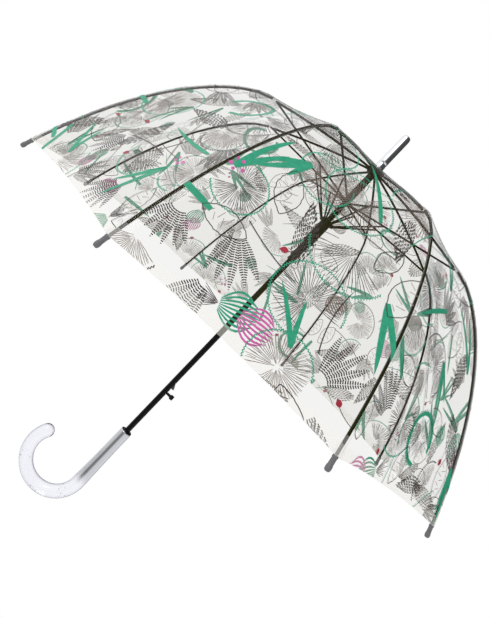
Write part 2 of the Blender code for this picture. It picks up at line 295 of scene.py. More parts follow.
def hem_material():
    """The folded band of thicker film, faintly cream."""
    made = surface("hem_film", (0.95, 0.92, 0.84), 0.35, IOR=1.45, Alpha=0.24)
    bump(made, noise(made, 60, 3), 0.0006, 0.4)
    return made


def seam_material():
    """The doubled film of a welded seam."""
    made = surface("seam_film", (0.40, 0.40, 0.39), 0.2, IOR=1.5, Alpha=0.45)
    bump(made, noise(made, 400, 2), 0.0003, 0.3)
    return made


def ink(name, colour, alpha=1.0):
    """Printed ink, with the uneven density of a screen print. Towards grazing it grows thin, so a painted
    sheen of white film shows over it.
    """
    made = surface(name, colour, 0.38)
    light = tuple(min(1.0, c * 1.18 + 0.012) for c in colour)
    vary(made, noise(made, 210, 3), "Base Color", colour, light)
    # Painted sheen: towards grazing the ink's alpha drops to about a fifth, so the film's white shows over
    # the print there.
    facing = add(made, "ShaderNodeLayerWeight", Blend=0.30)
    sheen_fade = add(made, "ShaderNodeMapRange", interpolation_type="SMOOTHSTEP")
    sheen_fade.inputs["From Min"].default_value = 0.52
    sheen_fade.inputs["From Max"].default_value = 0.92
    sheen_fade.inputs["To Min"].default_value = alpha
    sheen_fade.inputs["To Max"].default_value = alpha * 0.22
    links, shader = made.node_tree.links, made.node_tree.nodes["Principled BSDF"]
    links.new(facing.outputs["Facing"], sheen_fade.inputs["Value"])
    links.new(sheen_fade.outputs["Result"], shader.inputs["Alpha"])
    return made


def black_steel():
    """Black enamelled steel."""
    made = surface("black_steel", (0.0025, 0.0025, 0.0032), 0.32, 0.0, Specular_IOR_Level=0.16)
    pattern = noise(made, 380, 4)
    vary(made, pattern, "Roughness", 0.26, 0.42)
    bump(made, pattern, 0.0002, 0.3)
    return made


def moulded(name, colour, roughness):
    """Moulded plastic with a fine, uneven gloss."""
    made = surface(name, colour, roughness, Specular_IOR_Level=0.3)
    pattern = noise(made, 900, 3)
    vary(made, pattern, "Roughness", roughness - 0.06, roughness + 0.08)
    bump(made, pattern, 0.0001, 0.35)
    return made


def brushed(name, colour, roughness):
    """Metal with a fine grain along Z."""
    made = surface(name, colour, roughness, 1.0)
    pattern = noise(made, 600, 3, (1, 1, 0.02))
    vary(made, pattern, "Roughness", roughness - 0.05, roughness + 0.08)
    bump(made, pattern, 0.00005, 0.2)
    return made


# ink name: (outside colour, colour through the film)
INKS = {
    "green": ((0.010, 0.300, 0.165), (0.27, 0.58, 0.46)),
    "dark": ((0.040, 0.028, 0.023), (0.30, 0.265, 0.24)),
    "pink": ((0.560, 0.085, 0.340), (0.74, 0.40, 0.58)),
    "crimson": ((0.330, 0.010, 0.030), (0.52, 0.16, 0.20)),
    "taupe": ((0.170, 0.130, 0.108), (0.44, 0.40, 0.37)),
}
INK_ORDER = list(INKS)
FILM = film_material()
HEM = hem_material()
SEAM = seam_material()
POCKET = surface("pocket_film", (0.80, 0.80, 0.79), 0.25, IOR=1.45, Alpha=0.16)
STEEL = black_steel()
PLASTIC = moulded("black_plastic", (0.0045, 0.0045, 0.006), 0.38)
GREY = moulded("grey_plastic", (0.150, 0.150, 0.158), 0.36)
CHROME = surface("chrome", (0.86, 0.87, 0.89), 0.08, 1.0)
SPRING = brushed("spring_steel", (0.16, 0.16, 0.17), 0.3)
INK_MATERIALS = [ink(f"ink_{name}", pair[0]) for name, pair in INKS.items()]
INK_MATERIALS += [ink(f"ink_{name}_back", pair[1], 0.46) for name, pair in INKS.items()]


# ---- mesh helpers ------------------------------------------------------------------------------
def piece(name, points, faces, materials, body, indices=None):
    """A mesh object that rides on a body."""
    data = bpy.data.meshes.new(name)
    data.from_pydata([tuple(p) for p in points], [], [tuple(f) for f in faces])
    for one in materials:
        data.materials.append(one)
    if indices is not None:
        data.polygons.foreach_set("material_index", np.asarray(indices, np.int32))
    data.shade_smooth()
    made = bpy.data.objects.new(name, data)
    bpy.context.scene.collection.objects.link(made)
    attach(made, body)
    return made


def grid_faces(rows, columns, first=0):
    """Quads of a grid of rows by columns of vertices."""
    faces = []
    for i in range(rows - 1):
        for j in range(columns - 1):
            a = first + i * columns + j
            faces.append((a, a + columns, a + columns + 1, a + 1))
    return faces


def furl(made, rib):
    """Give a piece its own copy of its mesh data."""
    azimuth = rib_azimuth(rib)
    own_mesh(made)


def halves(rib):
    """The two half gores beside a rib: (gore's azimuth, first w, last w) from left to right."""
    before = gore_azimuth(rib - 1)
    after = gore_azimuth(rib)
    return [(before, 0.0, 1.0), (after, -1.0, 0.0)]


# ---- film --------------------------------------------------------------------------------------
def film_piece(rib, name, body, low, high, rows, columns=9):
    """One rib's film from length low to high, out to the middle of the gore on each side."""
    points, faces = [], []
    for azimuth, start, stop in halves(rib):
        across = np.linspace(start, stop, columns)
        first = len(points)
        end = np.minimum(high, hem_at(across))
        for i in range(rows):
            t = low + (end - low) * i / (rows - 1)
            points.extend(on_gore(azimuth, across, t))
        faces.extend(grid_faces(rows, columns, first))
    made = piece(name, points, faces, [FILM], body)
    mesh = bmesh.new()
    mesh.from_mesh(made.data)
    bmesh.ops.remove_doubles(mesh, verts=mesh.verts, dist=0.00002)
    mesh.to_mesh(made.data)
    mesh.free()
    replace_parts(made, f"canopy_gore_{rib}")
    furl(made, rib)
    return made


def hem_piece(rib):
    """The folded white band along the hem, a hair outside the film."""
    points, faces = [], []
    for azimuth, start, stop in halves(rib):
        across = np.linspace(start, stop, 13)
        first = len(points)
        for i in range(4):
            t = hem_at(across) - HEM_BAND * (1 - i / 3)
            points.extend(on_gore(azimuth, across, t, 0.0004))
        faces.extend(grid_faces(4, 13, first))
    made = piece(f"hem_{rib}", points, faces, [HEM], f"lower_rib_{rib}")
    furl(made, rib)
    return made


def seam_piece(rib, name, body, low, high, rows):
    """The two raised edges of the welded seam over a rib."""
    points, faces = [], []
    t = np.linspace(low, high, rows)
    for sign, (azimuth, _, _) in zip((1, -1), halves(rib)):
        for near, far, lift in SEAM_EDGES:
            first = len(points)
            wide = half_width(t)
            for i in range(rows):
                across = [sign * (1 - min(edge, wide[i]) / wide[i]) for edge in (near, far)]
                points.extend(on_gore(azimuth, across, t[i], lift))
            faces.extend(grid_faces(rows, 2, first))
    made = piece(name, points, faces, [SEAM], body)
    furl(made, rib)
    return made


def pocket(rib):
    """The welded pocket that holds the film to the rib's cap."""
    points, faces = [], []
    for sign, (azimuth, _, _) in zip((1, -1), halves(rib)):
        first = len(points)
        for i in range(6):
            t = HEM_T - POCKET_LENGTH * (1 - i / 5)
            reach = POCKET_REACH[0] + (POCKET_REACH[1] - POCKET_REACH[0]) * (i / 5)
            for j in range(4):
                points.extend(on_gore(azimuth, [sign * (1 - reach * j / 3 / half_width(t))], t, 0.0008))
        faces.extend(grid_faces(6, 4, first))
    made = piece(f"pocket_{rib}", points, faces, [POCKET], f"lower_rib_{rib}")
    furl(made, rib)
    return made


# ---- print: flat strokes on a gore ---------------------------------------------------------------
class Print:
    """Strokes in a gore's flat coordinates: x across, t from the crown, both in metres."""

    def __init__(self, seed):
        self.random = random.Random(seed)
        self.quads = []
        self.inks = []
        self.lifts = []
        self.layer = 0

    def stroke(self, points, widths, colour, step=0.006):
        """A ribbon along the points, with a width at each. A step of None adds no points between."""
        points = np.asarray(points, float)
        widths = np.broadcast_to(np.asarray(widths, float), len(points))
        steps = np.linalg.norm(np.diff(points, axis=0), axis=1)
        length = np.concatenate([[0], np.cumsum(steps)])
        if length[-1] < 0.0002:
            return
        count = max(len(points), int(length[-1] / step) + 2) if step else len(points)
        at = np.linspace(0, length[-1], count) if step else length
        line = np.stack([np.interp(at, length, points[:, i]) for i in (0, 1)], 1)
        width = np.interp(at, length, widths)
        slope = np.gradient(line, axis=0)
        slope /= np.maximum(np.linalg.norm(slope, axis=1), 1e-9)[:, None]
        side = np.stack([-slope[:, 1], slope[:, 0]], 1) * width[:, None] / 2
        left, right = line + side, line - side
        for i in range(count - 1):
            self.quads.append((left[i], left[i + 1], right[i + 1], right[i]))
            self.inks.append(INK_ORDER.index(colour))
            self.lifts.append(self.layer)

    def next_layer(self):
        """What is drawn next lies a little further off the film."""
        self.layer += 1

    # motifs: each is drawn round (x, t), turned by angle, at a size --------------------------
    def place(self, x, t, angle):
        """A motif's own coordinates, as a function that gives points on the gore."""
        cos, sin = math.cos(angle), math.sin(angle)

        def at(a, b):
            return (x + a * cos - b * sin, t + a * sin + b * cos)

        return at

    def hairs(self, at, size, spread, count, near, far, colour, width):
        """Fine wavering spokes over an arc."""
        for i in range(count + 1):
            turn = spread * (i / count - 0.5) + self.random.uniform(-0.012, 0.012)
            first = size * self.random.uniform(*near)
            last = size * self.random.uniform(*far)
            line = []
            for j in range(5):
                r = first + (last - first) * j / 4
                bend = turn + self.random.uniform(-0.016, 0.016)
                line.append(at(r * math.cos(bend), r * math.sin(bend)))
            self.stroke(line, [width * 0.5, width, width, width, width * 0.6], colour, None)

    def pad(self, x, t, angle, size):
        """A round or shell-shaped leaf: hair-fine spokes and a zigzag edge on a part of it."""
        at = self.place(x, t, angle)
        spread = self.random.choice((1.7, 2.4, 3.6, 5.0, 5.6))
        hair = self.random.choice(("taupe", "dark"))
        self.hairs(at, size, spread, int(spread * 9), (0.06, 0.26), (0.84, 0.96), hair, 0.0006)
        self.hairs(at, size, spread, int(spread * 6), (0.50, 0.66), (0.84, 0.95), hair, 0.0005)
        teeth = int(spread * size / 0.0034)
        first, last = self.random.choice(((0.0, 1.0), (0.0, 1.0), (0.0, 0.6), (0.35, 1.0)))
        edge = []
        for i in range(teeth * 2 + 1):
            share = i / (teeth * 2)
            if first <= share <= last:
                turn = spread * (share - 0.5)
                r = size * (1.0 + (0.028 if i % 2 else -0.022) + self.random.uniform(-0.006, 0.006))
                edge.append(at(r * math.cos(turn), r * math.sin(turn)))
        self.stroke(edge, 0.0015, self.random.choice(("green", "green", "green", "dark")), None)

    def ring(self, x, t, angle, size):
        """An open ring of thick short strokes round a tuft of hairs."""
        at = self.place(x, t, angle)
        spread = self.random.uniform(4.7, 5.4)
        turns = [spread * i / 40 for i in range(41)]
        core = [at(size * 0.95 * math.cos(turn), size * 0.95 * math.sin(turn)) for turn in turns]
        self.stroke(core, [0.0006] + [size * 0.15] * 39 + [0.0006], "green")
        count = int(spread * size / 0.0026)
        for i in range(count):
            turn = spread * i / count
            far = size * self.random.uniform(1.05, 1.12)
            line = [at(size * 0.90 * math.cos(turn), size * 0.90 * math.sin(turn)),
                    at(far * math.cos(turn + 0.05), far * math.sin(turn + 0.05))]
            self.stroke(line, 0.0013, "green", None)
        at = self.place(x, t, angle + 0.4)
        self.hairs(at, size, 6.1, 46, (0.06, 0.35), (0.55, 0.80), "dark", 0.0005)

    def blades(self, x, t, angle, size):
        """Two or three long green blades from one foot."""
        at = self.place(x, t, angle)
        broad = self.random.uniform(0.0048, 0.0082)
        for lean, length in ((0.0, 1.0), (0.30, 0.78), (-0.24, 0.55))[: self.random.choice((1, 2, 2, 3))]:
            bend = self.random.uniform(-0.18, 0.18)
            line = []
            for i in range(9):
                s = i / 8
                turn = lean + bend * s
                line.append(at(size * length * s * math.cos(turn), size * length * s * math.sin(turn)))
            widths = (0.75, 1, 1, 0.98, 0.94, 0.86, 0.72, 0.50, 0.06)
            self.stroke(line, [broad * w for w in widths], "green", None)

    def vane(self, at, turn, start, length, width, colour):
        """A narrow leaf of short dashes across its length."""
        dashes = int(length / 0.0027)
        for i in range(dashes):
            s = (i + 0.5) / dashes
            half = width * math.sin(math.pi * min(1.0, s * 0.92 + 0.10)) ** 0.7 / 2
            for side in (-1, 1):
                jitter = self.random.uniform(0.85, 1.0)
                a0, b0 = start + length * s, side * half * 0.08
                a1, b1 = start + length * s + 0.0008, side * half * jitter
                ends = [
                    at(a * math.cos(turn) - b * math.sin(turn), a * math.sin(turn) + b * math.cos(turn))
                    for a, b in ((a0, b0), (a1, b1))
                ]
                self.stroke(ends, [0.0015, 0.0012], colour, None)

    def fan(self, x, t, angle, size):
        """A fan of dashed vanes."""
        at = self.place(x, t, angle)
        count = self.random.choice((4, 5, 5, 6))
        for i in range(count):
            turn = (i - (count - 1) / 2) * 0.24
            length = size * (1.0 - 0.08 * abs(i - (count - 1) / 2))
            self.vane(at, turn, size * 0.22, length * 0.80, size * 0.145, "dark")

    def frond(self, x, t, angle, size):
        """A long leaf filled with rows of fine dashes."""
        at = self.place(x, t, angle)
        rows = 7
        for row in range(rows):
            v = (row + 0.5) / rows * 2 - 1
            length = size * (1.0 - 0.25 * v * v)
            dashes = int(length / 0.0066)
            for i in range(dashes):
                s = (i + (row % 2) * 0.5) / dashes
                half = size * 0.17 * math.sin(math.pi * min(1.0, 0.06 + s * 0.9)) ** 0.7
                a, b = length * s, v * half + size * 0.06 * math.sin(2.2 * s)
                long = self.random.uniform(0.0040, 0.0052)
                lean = v * 0.25 * (0.6 - s)
                self.stroke([at(a, b), at(a + long, b + long * lean)], 0.00125, "dark", None)
                if half > 0.006:
                    mid = b + half / rows * 0.9
                    between = [at(a + 0.002, mid), at(a + 0.002 + long, mid + long * lean)]
                    self.stroke(between, 0.0009, "dark", None)

    def petals(self, x, t, angle, size, colour=None):
        """A cup of striped petals."""
        at = self.place(x, t, angle)
        colour = colour or self.random.choice(("pink", "green", "green", "taupe"))
        stripes = 9
        for i in range(stripes):
            u = (i - (stripes - 1) / 2) / ((stripes - 1) / 2)
            length = size * (1.0 - 0.20 * u * u) * self.random.uniform(0.92, 1.03)
            line = []
            for j in range(8):
                belly = math.sin(math.pi * (0.10 + 0.66 * j / 7))
                line.append(at(length * j / 7, size * 0.46 * u * belly))
            thick = size * 0.052
            self.stroke(line, [thick * w for w in (0.4, 0.7, 0.9, 1.0, 1.1, 1.1, 0.9, 0.3)], colour, None)

    def flower(self, x, t, angle, size):
        """Two cups of striped petals, one over the other, on a foot of short hairs."""
        at = self.place(x, t, angle)
        self.petals(*at(size * 0.42, 0), angle + 0.16, size * 0.74, "pink")
        self.petals(*at(0, 0), angle - 0.10, size * 0.78, "green")
        foot = self.place(*at(0, 0), angle + math.pi)
        self.hairs(foot, size * 0.5, 1.1, 9, (0.05, 0.2), (0.6, 1.0), "dark", 0.0008)

    def drop(self, x, t, angle, size):
        """A bud: a filled crimson drop on a thin stem."""
        at = self.place(x, t, angle)
        line = [at(size * s, 0.12 * size * math.sin(2 * s)) for s in np.linspace(0, 1, 9)]
        widths = [size * 0.7 * w for w in (0.10, 0.55, 0.85, 1.0, 0.98, 0.82, 0.55, 0.28, 0.02)]
        self.stroke(line, widths, "crimson", 0.002)
        stem = [at(-size * 2.2 * s, size * 0.5 * s * s) for s in np.linspace(0, 1, 6)]
        self.stroke(stem, 0.0007, "dark")

    def dots(self, x, t, angle, size):
        """A spray of small pink dots."""
        at = self.place(x, t, angle)
        for i in range(5):
            a, b = size * 0.5 * math.cos(i * 2.4), size * 0.5 * math.sin(i * 2.4)
            r = size * self.random.uniform(0.10, 0.20)
            self.stroke([at(a - r, b), at(a - r * 0.5, b), at(a + r * 0.5, b), at(a + r, b)],
                        [r * 0.4, r * 1.7, r * 1.7, r * 0.4], "pink", None)

    def outline(self, x, t, angle, size):
        """A thin wavering leaf outline with a few veins."""
        at = self.place(x, t, angle)
        for side in (-1, 1):
            line = []
            for s in np.linspace(0, 1, 22):
                wave = self.random.uniform(-0.010, 0.010)
                line.append(at(size * s, side * size * (0.26 * math.sin(math.pi * s) ** 0.8 + wave)))
            self.stroke(line, 0.0010, "dark", None)
        for i in range(7):
            s = 0.16 + 0.1 * i
            side = 0.17 * size * math.sin(math.pi * s) * (1 if i % 2 else -1)
            self.stroke([at(size * s, -side * 0.2), at(size * (s + 0.06), side)], 0.0006, "taupe", None)

    def stem(self, x, t, angle, size):
        """A long thin stem with a curl."""
        at = self.place(x, t, angle)
        bend = self.random.uniform(-0.35, 0.35)
        line = [at(size * s, size * bend * s * s) for s in np.linspace(0, 1, 12)]
        self.stroke(line, [0.0013] * 10 + [0.0009, 0.0004], self.random.choice(("green", "green", "dark")))


# kind: (smallest, largest, how many on a gore, room as a share of the size, where its middle is)
MOTIFS = {
    "ring": (0.030, 0.036, 1, 1.0, 0.0),
    "flower": (0.050, 0.060, 1, 0.50, 0.5),
    "fan": (0.056, 0.074, 5, 0.46, 0.55),
    "frond": (0.070, 0.105, 5, 0.34, 0.5),
    "pad": (0.034, 0.056, 10, 0.66, 0.3),
    "blades": (0.065, 0.115, 6, 0.24, 0.4),
    "petals": (0.026, 0.036, 2, 0.50, 0.5),
    "outline": (0.050, 0.090, 7, 0.30, 0.5),
    "drop": (0.008, 0.012, 3, 0.9, 0.3),
    "dots": (0.012, 0.018, 1, 0.6, 0.0),
    "stem": (0.080, 0.150, 6, 0.10, 0.4),
}


def scattered(seed):
    """A gore's print: motifs thrown one by one, biggest first, where there is room."""
    ink_print = Print(seed)
    chance = random.Random(seed * 31 + 7)
    taken = []
    for kind, (small, large, count, room, middle) in MOTIFS.items():
        for _ in range(count):
            best = None
            for _ in range(TRIES):
                size = chance.uniform(small, large)
                t = HEM_T * math.sqrt(chance.uniform(0.22 if kind == "blades" else 0.03, 1.0))
                x = chance.uniform(-0.94, 0.94) * half_width(t)
                angle = chance.uniform(0, math.tau)
                mx, mt = x + size * middle * math.cos(angle), t + size * middle * math.sin(angle)
                reach = size * room
                clear = min([math.hypot(mx - a, mt - b) - reach - c for a, b, c in taken], default=1.0)
                to_side = half_width(min(max(mt, 0.0), HEM_T)) - abs(mx)
                inside = min(to_side + PAST_SEAM, HEM_T - mt + PAST_HEM, mt - CLEAR_OF_CROWN)
                score = min(clear, 0.0) + min(inside, 0.0) * 1.5
                if best is None or score > best[0]:
                    best = (score, x, t, angle, size, mx, mt, reach)
                if score > -OVERLAP:
                    break
            _, x, t, angle, size, mx, mt, reach = best
            taken.append((mx, mt, reach * KEPT_ROOM))
            getattr(ink_print, kind)(x, t, angle, size)
            ink_print.next_layer()
    return ink_print


def print_pieces():
    """Each gore's print, cut at its middle and at the elbow, on the pieces that carry it."""
    pools = {}
    for gore in range(1, RIBS + 1):
        drawn = scattered(gore + 20)
        quads = np.array(drawn.quads)
        inks = np.array(drawn.inks)
        lifts = INK_LIFT + np.array(drawn.lifts) * LAYER_LIFT
        wide = half_width(np.clip(quads[..., 1], CROWN_T, HEM_T)) - SEAM_GAP
        x = np.clip(quads[..., 0], -wide, wide)
        w = x / (wide + SEAM_GAP)
        t = np.clip(quads[..., 1], PRINT_T, hem_at(w) - 0.0004)
        centre_x, centre_t = x.mean(1), t.mean(1)
        flat = np.stack([x, t], -1)
        one, other = flat[:, 2] - flat[:, 0], flat[:, 3] - flat[:, 1]
        size = np.abs(one[:, 0] * other[:, 1] - one[:, 1] * other[:, 0]) / 2
        keep = size > 1e-9          # what was clipped flat is dropped
        azimuth = gore_azimuth(gore)
        outer = on_gore(azimuth, w, t, lifts[:, None])
        inner = on_gore(azimuth, w, t, -lifts[:, None])
        for side, rib in ((-1, gore), (1, gore % RIBS + 1)):
            for level, chosen in (("upper", centre_t < ELBOW_T), ("lower", centre_t >= ELBOW_T)):
                mask = keep & chosen & ((centre_x < 0) if side < 0 else (centre_x >= 0))
                pool = pools.setdefault((level, rib), ([], []))
                pool[0].append(outer[mask])
                pool[1].append(inks[mask])
                pool[0].append(inner[mask][:, ::-1])
                pool[1].append(inks[mask] + len(INKS))
    made = {}
    for (level, rib), (quads, inks) in pools.items():
        quads, inks = np.concatenate(quads), np.concatenate(inks)
        normal = np.cross(quads[:, 2] - quads[:, 0], quads[:, 3] - quads[:, 1])
        outward = (normal * (quads.mean(1) - np.array([0, 0, HUB_Z - 0.25]))).sum(1) > 0
        wrong = np.where(inks < len(INKS), ~outward, outward)
        quads[wrong] = quads[wrong][:, ::-1]
        points = quads.reshape(-1, 3)
        faces = np.arange(len(points)).reshape(-1, 4)
        made[level, rib] = piece(
            f"print_{level}_{rib}", points, faces, INK_MATERIALS, f"{level}_rib_{rib}", inks)
        furl(made[level, rib], rib)
    return made


def canopy():
    """Film, print, hem, pocket and seams for every rib."""
    prints = print_pieces()
    for rib in range(1, RIBS + 1):
        upper = film_piece(rib, f"film_upper_{rib}", f"upper_rib_{rib}", CROWN_T, ELBOW_T, 16)
        lower = film_piece(rib, f"film_lower_{rib}", f"lower_rib_{rib}", ELBOW_T, HEM_T, 30)
        trims = [hem_piece(rib), pocket(rib)]
        trims.append(seam_piece(rib, f"seam_lower_{rib}", f"lower_rib_{rib}", ELBOW_T, HEM_T, 40))
        upper_seam = seam_piece(rib, f"seam_upper_{rib}", f"upper_rib_{rib}", SEAM_T, ELBOW_T, 20)
        wide, long = 2 * half_width(ELBOW_T), ELBOW_T - CROWN_T
        wide, long = 2 * half_width(HEM_T), HEM_T - ELBOW_T


# ---- turned pieces -------------------------------------------------------------------------------
def turned(name, profile, material, body, steps=48, place=None):
    """A piece turned about its own Z. The profile is (radius, height) from one end to the other."""
    mesh = bmesh.new()
    rings = []
    for radius, height in profile:
        if radius < 1e-6:
            rings.append([mesh.verts.new((0, 0, height))])
            continue
        turns = [math.tau * i / steps for i in range(steps)]
        rings.append([mesh.verts.new((radius * math.cos(a), radius * math.sin(a), height)) for a in turns])
    for first, second in zip(rings, rings[1:]):
        for i in range(steps):
            corners = [first[i % len(first)], second[i % len(second)],
                       second[(i + 1) % len(second)], first[(i + 1) % len(first)]]
            mesh.faces.new(list(dict.fromkeys(corners)))
    bmesh.ops.recalc_face_normals(mesh, faces=mesh.faces)
    if place:
        bmesh.ops.transform(mesh, matrix=place, verts=mesh.verts)
    data = bpy.data.meshes.new(name)
    mesh.to_mesh(data)
    mesh.free()
    data.materials.append(material)
    data.shade_smooth()
    data.set_sharp_from_angle(angle=math.radians(38))
    made = bpy.data.objects.new(name, data)
    bpy.context.scene.collection.objects.link(made)
    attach(made, body)
    return made


def ferrule():
    """The chrome spike: a domed end, a long taper and a foot with a groove."""
    low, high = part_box("ferrule")
    wide, top, foot = high.x, high.z, low.z
    profile = [(0, top), (0.0030, top - 0.0002), (0.0052, top - 0.0008), (0.0063, top - 0.0022),
               (0.0070, top - 0.0050), (0.0072, top - 0.0100), (0.0074, foot + 0.0180),
               (0.0076, foot + 0.0125), (0.0072, foot + 0.0118), (0.0072, foot + 0.0104),
               (wide - 0.0002, foot + 0.0096), (wide, foot + 0.0030), (wide - 0.0006, foot), (0, foot)]
    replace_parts(turned("ferrule_chrome", profile, CHROME, "shaft"), "ferrule")


def tip_caps():
    """Bullets on the ribs' ends, each with a collar ring and a blunt nose."""
    slope = LINE[-1] - LINE[-3]
    back = math.atan2(-slope[0], -slope[1])
    profile = [(0, CAP_LENGTH - 0.0003), (0.0029, CAP_LENGTH - 0.0003), (0.0034, CAP_LENGTH - 0.0012),
               (0.0034, CAP_LENGTH - 0.0030), (0.0030, CAP_LENGTH - 0.0036), (0.0031, 0.0080),
               (0.0036, 0.0062), (0.0036, 0.0030), (0.0031, 0.0012), (0.0020, 0.0002), (0, 0)]
    for rib in range(1, RIBS + 1):
        place = (Matrix.Rotation(rib_azimuth(rib), 4, "Z") @ Matrix.Translation((TIP[0], 0, TIP[1]))
                 @ Matrix.Rotation(back, 4, "Y"))
        made = turned(f"tip_bullet_{rib}", profile, GREY, f"lower_rib_{rib}", 24, place)
        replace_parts(made, f"tip_cap_{rib}")


# ---- handle ------------------------------------------------------------------------------------
def grip_material():
    """Brushed silver on the straight part, fading into clear acrylic with a lavender cast. The acrylic's
    colour darkens to grey-violet towards grazing, painted shade for the dark edges that refraction gives a
    clear rod.
    """
    made = surface("grip", (0.9, 0.9, 0.96), 0.05, IOR=1.47, Specular_IOR_Level=0.5)
    tree = made.node_tree
    shader = tree.nodes["Principled BSDF"]
    place = add(made, "ShaderNodeTexCoord")
    split = add(made, "ShaderNodeSeparateXYZ")
    tree.links.new(place.outputs["Object"], split.inputs[0])
    metal = add(made, "ShaderNodeMapRange", interpolation_type="SMOOTHSTEP")
    metal.inputs["From Min"].default_value = HUB_Z - SILVER_ENDS[0]
    metal.inputs["From Max"].default_value = HUB_Z - SILVER_ENDS[1]
    tree.links.new(split.outputs["Z"], metal.inputs["Value"])
    straight = add(made, "ShaderNodeMath", operation="GREATER_THAN")
    straight.inputs[1].default_value = HOOK_SIDE_X
    tree.links.new(split.outputs["X"], straight.inputs[0])
    silvered = add(made, "ShaderNodeMath", operation="MULTIPLY")
    tree.links.new(straight.outputs[0], silvered.inputs[0])
    tree.links.new(metal.outputs["Result"], silvered.inputs[1])
    grain = noise(made, 500, 3, (1, 1, 0.015))
    for socket, clear, silver in (
            ("Metallic", 0.0, 1.0), ("Roughness", 0.045, 0.24), ("Transmission Weight", 0.97, 0.0)):
        spread = add(made, "ShaderNodeMapRange")
        spread.inputs["To Min"].default_value = clear
        spread.inputs["To Max"].default_value = silver
        tree.links.new(silvered.outputs[0], spread.inputs["Value"])
        tree.links.new(spread.outputs["Result"], shader.inputs[socket])
    ramp = add(made, "ShaderNodeValToRGB")
    ramp.color_ramp.elements[0].color = (0.66, 0.68, 0.71, 1)
    ramp.color_ramp.elements[1].color = (0.80, 0.81, 0.83, 1)
    tree.links.new(grain.outputs["Fac"], ramp.inputs["Fac"])
    colour = add(made, "ShaderNodeMix", data_type="RGBA")
    sockets = [socket for socket in colour.inputs if socket.type == "RGBA"]
    # Painted shade: towards grazing the clear acrylic's colour darkens from lavender white to dark
    # grey-violet, for the dark edges that refraction gives.
    edge = add(made, "ShaderNodeLayerWeight", Blend=0.30)
    rim = add(made, "ShaderNodeValToRGB")
    rim.color_ramp.elements[0].position = 0.12
    rim.color_ramp.elements[0].color = (0.925, 0.92, 0.965, 1)
    rim.color_ramp.elements[1].position = 0.72
    rim.color_ramp.elements[1].color = (0.30, 0.29, 0.36, 1)
    tree.links.new(edge.outputs["Facing"], rim.inputs["Fac"])
    tree.links.new(rim.outputs["Color"], sockets[0])
    tree.links.new(ramp.outputs["Color"], sockets[1])
    tree.links.new(silvered.outputs[0], colour.inputs[0])
    result = [socket for socket in colour.outputs if socket.type == "RGBA"][0]
    tree.links.new(result, shader.inputs["Base Color"])
    bump(made, noise(made, 55, 2), 0.0006, 0.12)
    return made


def bubble(mesh, centre, radius):
    """An air bubble in the acrylic: a little ball whose skin faces inward."""
    made = bmesh.ops.create_icosphere(mesh, subdivisions=2, radius=radius)
    bmesh.ops.translate(mesh, vec=centre, verts=made["verts"])
    bmesh.ops.reverse_faces(mesh, faces=list({face for v in made["verts"] for face in v.link_faces}))


def silver_sleeve(material):
    """The silver sleeve, which widens towards the hook."""
    low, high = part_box("handle_sleeve")
    head, foot, wide = high.z, low.z, high.x
    profile = [(0.0070, head), (0.0095, head), (0.0098, head - 0.0004)]
    for i in range(25):
        s = i / 24
        profile.append((0.0099 + (wide - 0.0099) * s ** 2.4, head - 0.001 + (foot - head + 0.001) * s))
    sleeve = turned("grip_sleeve", profile, material, "shaft", 56)
    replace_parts(sleeve, "handle_sleeve")


def clear_hook(material):
    """The clear J, as one smooth skin from the sleeve's foot to its round end, with bubbles in it."""
    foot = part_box("handle_sleeve")[0].z
    low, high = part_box("handle_hook")
    radius = high.y
    bend = (high.x - low.x) / 2 - radius
    start = low.z + radius + bend
    mesh = bmesh.new()
    sweep, steps, sides, nose = math.radians(209), 84, 56, 14
    rings = []

    def ring(centre, ahead, width):
        """One ring of vertices across the J."""
        across, level = Vector((ahead.z, 0, -ahead.x)), Vector((0, 1, 0))
        turns = [math.tau * i / sides for i in range(sides)]
        spokes = [math.cos(turn) * across + math.sin(turn) * level for turn in turns]
        return [mesh.verts.new(centre + width * spoke) for spoke in spokes]

    for height in (foot, (foot + start) / 2):
        rings.append(ring(Vector((0, 0, height)), Vector((0, 0, -1)), radius))
    for i in range(steps + 1):
        turn = sweep * i / steps
        ahead = Vector((-math.sin(turn), 0, -math.cos(turn)))
        centre = Vector((-bend + bend * math.cos(turn), 0, start - bend * math.sin(turn)))
        rings.append(ring(centre, ahead, radius))
    for i in range(1, nose):
        turn = math.radians(90) * i / nose
        rings.append(ring(centre + ahead * radius * math.sin(turn), ahead, radius * math.cos(turn)))
    for first, second in zip(rings, rings[1:]):
        for i in range(sides):
            j = (i + 1) % sides
            mesh.faces.new((first[i], first[j], second[j], second[i]))
    mesh.faces.new(rings[-1])
    mesh.normal_update()
    mesh.faces.ensure_lookup_table()
    probe = mesh.faces[sides * 10]
    if probe.normal.dot(probe.calc_center_median() - Vector((0, 0, start))) < 0:
        bmesh.ops.reverse_faces(mesh, faces=mesh.faces)
    chance = random.Random(5)
    for middle, count in BUBBLES:
        for _ in range(count):
            turn = middle + chance.uniform(-0.16, 0.16)
            out = bend + chance.uniform(-0.0065, 0.0065)
            side = chance.uniform(-0.006, 0.006)
            place = Vector((-bend + out * math.cos(turn), side, start - out * math.sin(turn)))
            bubble(mesh, place, chance.uniform(0.0003, 0.0011))
    data = bpy.data.meshes.new("hook_clear")
    mesh.to_mesh(data)
    mesh.free()
    data.materials.append(material)
    data.shade_smooth()
    made = bpy.data.objects.new("hook_clear", data)
    bpy.context.scene.collection.objects.link(made)
    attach(made, "shaft")
    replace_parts(made, "handle_hook")


